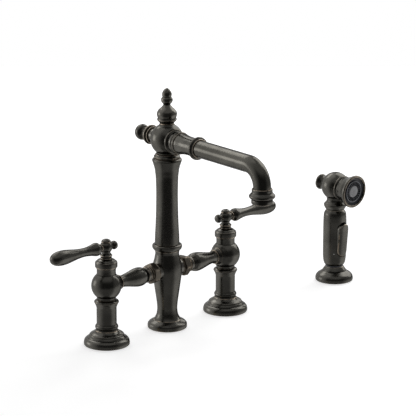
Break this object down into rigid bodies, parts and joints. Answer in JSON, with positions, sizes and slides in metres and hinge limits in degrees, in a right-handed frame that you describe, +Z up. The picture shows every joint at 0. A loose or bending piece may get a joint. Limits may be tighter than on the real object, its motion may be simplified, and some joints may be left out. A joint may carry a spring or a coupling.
{
  "type": "bridge faucet",
  "caption": "Traditional kitchen bridge faucet in dark bronze: turned column, swivelling spout bent down at its end, lever handles on the valves and a separate side spray with a trigger.",
  "frame": {"origin": "on the centre column's axis, in the plane of the deck that the flanges stand on", "axes": "+Z up, along the column; +X along the deck towards the side spray; -Y towards the sink, where the spout points"},
  "size_m": [0.5194, 0.2564, 0.3673],
  "materials": {
    "bronze": "dark oil-rubbed bronze, satin, fine brushing, copper edges",
    "brass": "plain machined brass",
    "steel": "stainless wire and pin",
    "rubber": "matt",
    "dark_plastic": "moulded, matt",
    "grey_plastic": "moulded, satin",
    "ceramic": "polished ceramic"
  },
  "bodies": {
    "base": {"centre_foot": "bronze", "centre_body": "bronze", "ring_nut": "bronze", "column_tube": "bronze", "swivel_collar": "bronze", "swivel_post": "brass", "swivel_o_rings": "rubber", "swivel_retainer": "brass", "diverter_body": "dark_plastic", "diverter_spring": "steel", "base_gaskets": "rubber", "centre_shank": "brass", "mounting_nuts": "brass", "mounting_washers": "rubber", "bridge_arm_left": "bronze", "bridge_arm_right": "bronze", "union_nuts": "bronze", "union_nipples": "brass", "union_gaskets": "rubber", "valve_body_left": "bronze", "valve_body_right": "bronze", "riser_sleeves": "bronze", "flanges": "bronze", "supply_shanks": "brass", "cartridges": "dark_plastic", "fixed_discs": "ceramic", "bonnets": "bronze", "spray_holder": "bronze", "holder_liner": "dark_plastic", "holder_shank": "brass"},
    "spout": {"spout_ball": "bronze", "finial": "bronze", "rear_knob": "bronze", "spout_nut": "bronze", "spout_adapter": "bronze", "spout_tube": "bronze", "outlet_shell": "bronze", "aerator_insert": "dark_plastic"},
    "left_handle": {"stem_left": "brass", "hub_left": "bronze", "hub_cap_left": "bronze", "lever_left": "bronze", "hub_knob_left": "bronze"},
    "right_handle": {"stem_right": "brass", "hub_right": "bronze", "hub_cap_right": "bronze", "lever_right": "bronze", "hub_knob_right": "bronze"},
    "handset": {"spray_grip": "bronze", "spray_head": "bronze", "head_knob": "bronze", "spray_bell": "bronze", "nozzle_ring": "dark_plastic", "nozzle_plate": "grey_plastic", "hose_connector": "brass", "trigger_pin": "steel", "trigger_spring": "steel"},
    "spray_trigger": {"trigger": "bronze"},
    "spray_plunger": {"valve_plunger": "brass"},
    "diverter": {"diverter_piston": "brass"}
  },
  "joints": [
    {"name": "spout_swivel", "type": "hinge", "parent": "base", "child": "spout", "pos_m": [0, 0, 0.2411], "axis": [0, 0, 1], "continuous": true},
    {"name": "left_handle_turn", "type": "hinge", "parent": "base", "child": "left_handle", "pos_m": [-0.1016, 0, 0.1234], "axis": [0, 0, 1], "range_deg": [0, 90]},
    {"name": "right_handle_turn", "type": "hinge", "parent": "base", "child": "right_handle", "pos_m": [0.1016, 0, 0.1234], "axis": [0, 0, 1], "range_deg": [-90, 0]},
    {"name": "handset_lift", "type": "slide", "parent": "base", "child": "handset", "axis": [0, 0, 1], "range_m": [0, 0.12]},
    {"name": "trigger_press", "type": "hinge", "parent": "handset", "child": "spray_trigger", "pos_m": [0.3048, -0.0092, 0.039], "axis": [-1, 0, 0], "range_deg": [0, 5], "stiffness_Nm_per_rad": 1.2, "springref_deg": -8.59},
    {"name": "plunger_slide", "type": "slide", "parent": "handset", "child": "spray_plunger", "axis": [0, 1, 0], "range_m": [0, 0.0025]},
    {"name": "diverter_slide", "type": "slide", "parent": "base", "child": "diverter", "axis": [0, 0, 1], "range_m": [0, 0.003], "stiffness_N_per_m": 150, "springref_m": -0.004, "deforming": ["diverter_spring"]}
  ],
  "couplings": [
    {"joint": "plunger_slide", "follows": "trigger_press", "m_per_rad": 0.025}
  ]
}
